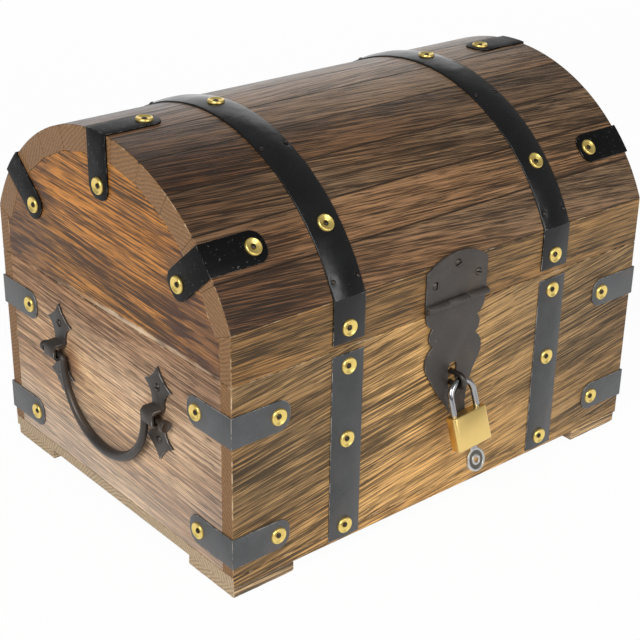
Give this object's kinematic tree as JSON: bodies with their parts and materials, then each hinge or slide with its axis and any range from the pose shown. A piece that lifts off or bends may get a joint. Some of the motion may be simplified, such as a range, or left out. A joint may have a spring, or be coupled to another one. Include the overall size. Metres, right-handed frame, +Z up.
{
  "type": "treasure chest box",
  "caption": "Wooden keepsake chest with an arched coopered lid, iron straps and bands, brass rosettes, end bail handles, and a hasp locked by a small padlock.",
  "frame": {"origin": "on the surface it stands on, under the middle of the whole chest with its lock and hinges", "axes": "+X along the chest to the right, seen from the front; -Y out of the front; +Z up"},
  "size_m": [0.4028, 0.3126, 0.2858],
  "materials": {
    "lid_wood": "waxed, dark-streaked hardwood",
    "end_wood": "waxed, scorched hardwood",
    "body_wood": "waxed hardwood",
    "black_iron": "black, satin",
    "forged_iron": "dark, browned, satin",
    "rosette_brass": "bright",
    "nail_iron": "dark",
    "lock_brass": "brushed",
    "shackle_chrome": "polished",
    "key_steel": "nickel-plated"
  },
  "bodies": {
    "chest": {"back_board": "body_wood", "back_body_bands": "black_iron", "back_left_foot": "body_wood", "back_right_foot": "body_wood", "bail_bracket_screws": "forged_iron", "base_board": "body_wood", "body_nails": "nail_iron", "body_rosettes": "rosette_brass", "front_board": "body_wood", "front_body_bands": "black_iron", "front_left_foot": "body_wood", "front_right_foot": "body_wood", "hasp_staple": "forged_iron", "hinge_body_leaves": "forged_iron", "hinge_body_screws": "forged_iron", "hinge_pins": "forged_iron", "left_back_bail_bracket": "forged_iron", "left_end_board": "end_wood", "left_front_bail_bracket": "forged_iron", "lower_corner_straps": "black_iron", "right_back_bail_bracket": "forged_iron", "right_end_board": "end_wood", "right_front_bail_bracket": "forged_iron", "upper_corner_straps": "black_iron"},
    "lid": {"lid_front_board": "lid_wood", "lid_back_board": "lid_wood", "lid_stave_01": "lid_wood", "lid_stave_02": "lid_wood", "lid_stave_03": "lid_wood", "lid_stave_04": "lid_wood", "lid_stave_05": "lid_wood", "lid_stave_06": "lid_wood", "lid_stave_07": "lid_wood", "lid_stave_08": "lid_wood", "lid_stave_09": "lid_wood", "lid_stave_10": "lid_wood", "lid_stave_11": "lid_wood", "left_lid_end_panel": "end_wood", "right_lid_end_panel": "end_wood", "left_lid_band": "black_iron", "right_lid_band": "black_iron", "left_lid_corner_straps": "black_iron", "right_lid_corner_straps": "black_iron", "lid_rosettes": "rosette_brass", "lid_nails": "nail_iron", "hinge_lid_leaves": "forged_iron", "hinge_lid_screws": "forged_iron", "hasp_lid_leaf": "forged_iron", "hasp_screws": "forged_iron", "hasp_pin": "forged_iron"},
    "hasp": {"hasp_slotted_leaf": "forged_iron"},
    "left_bail": {"left_bail": "forged_iron"},
    "right_bail": {"right_bail": "forged_iron"},
    "shackle": {"padlock_shackle": "shackle_chrome"},
    "lock_case": {"padlock_case": "lock_brass"},
    "lock_cylinder": {"padlock_cylinder": "lock_brass"},
    "key": {"padlock_key": "key_steel"}
  },
  "joints": [
    {"name": "lid_open", "type": "hinge", "parent": "chest", "child": "lid", "pos_m": [0, 0.15284, 0.15615], "axis": [-1, 0, 0], "range_deg": [0, 100]},
    {"name": "hasp_swing", "type": "hinge", "parent": "lid", "child": "hasp", "pos_m": [-0.0015, -0.13021, 0.1624], "axis": [-1, 0, 0], "range_deg": [0, 170]},
    {"name": "left_bail_swing", "type": "hinge", "parent": "chest", "child": "left_bail", "pos_m": [-0.196, 0.01134, 0.104], "axis": [0, 1, 0], "range_deg": [0, 180]},
    {"name": "right_bail_swing", "type": "hinge", "parent": "chest", "child": "right_bail", "pos_m": [0.196, 0.01134, 0.104], "axis": [0, -1, 0], "range_deg": [0, 180]},
    {"name": "padlock_swing", "type": "hinge", "parent": "chest", "child": "shackle", "pos_m": [-0.0015, -0.13626, 0.1041], "axis": [-1, 0, 0], "range_deg": [0, 75]},
    {"name": "padlock_release", "type": "slide", "parent": "shackle", "child": "lock_case", "axis": [0.0523, -0.292, -0.955], "range_m": [0, 0.008]},
    {"name": "cylinder_turn", "type": "hinge", "parent": "lock_case", "child": "lock_cylinder", "pos_m": [0.00096, -0.14998, 0.05921], "axis": [0.0523, -0.292, -0.955], "range_deg": [0, 90]},
    {"name": "key_pull", "type": "slide", "parent": "lock_cylinder", "child": "key", "axis": [0.0523, -0.292, -0.955], "range_m": [0, 0.02]}
  ]
}
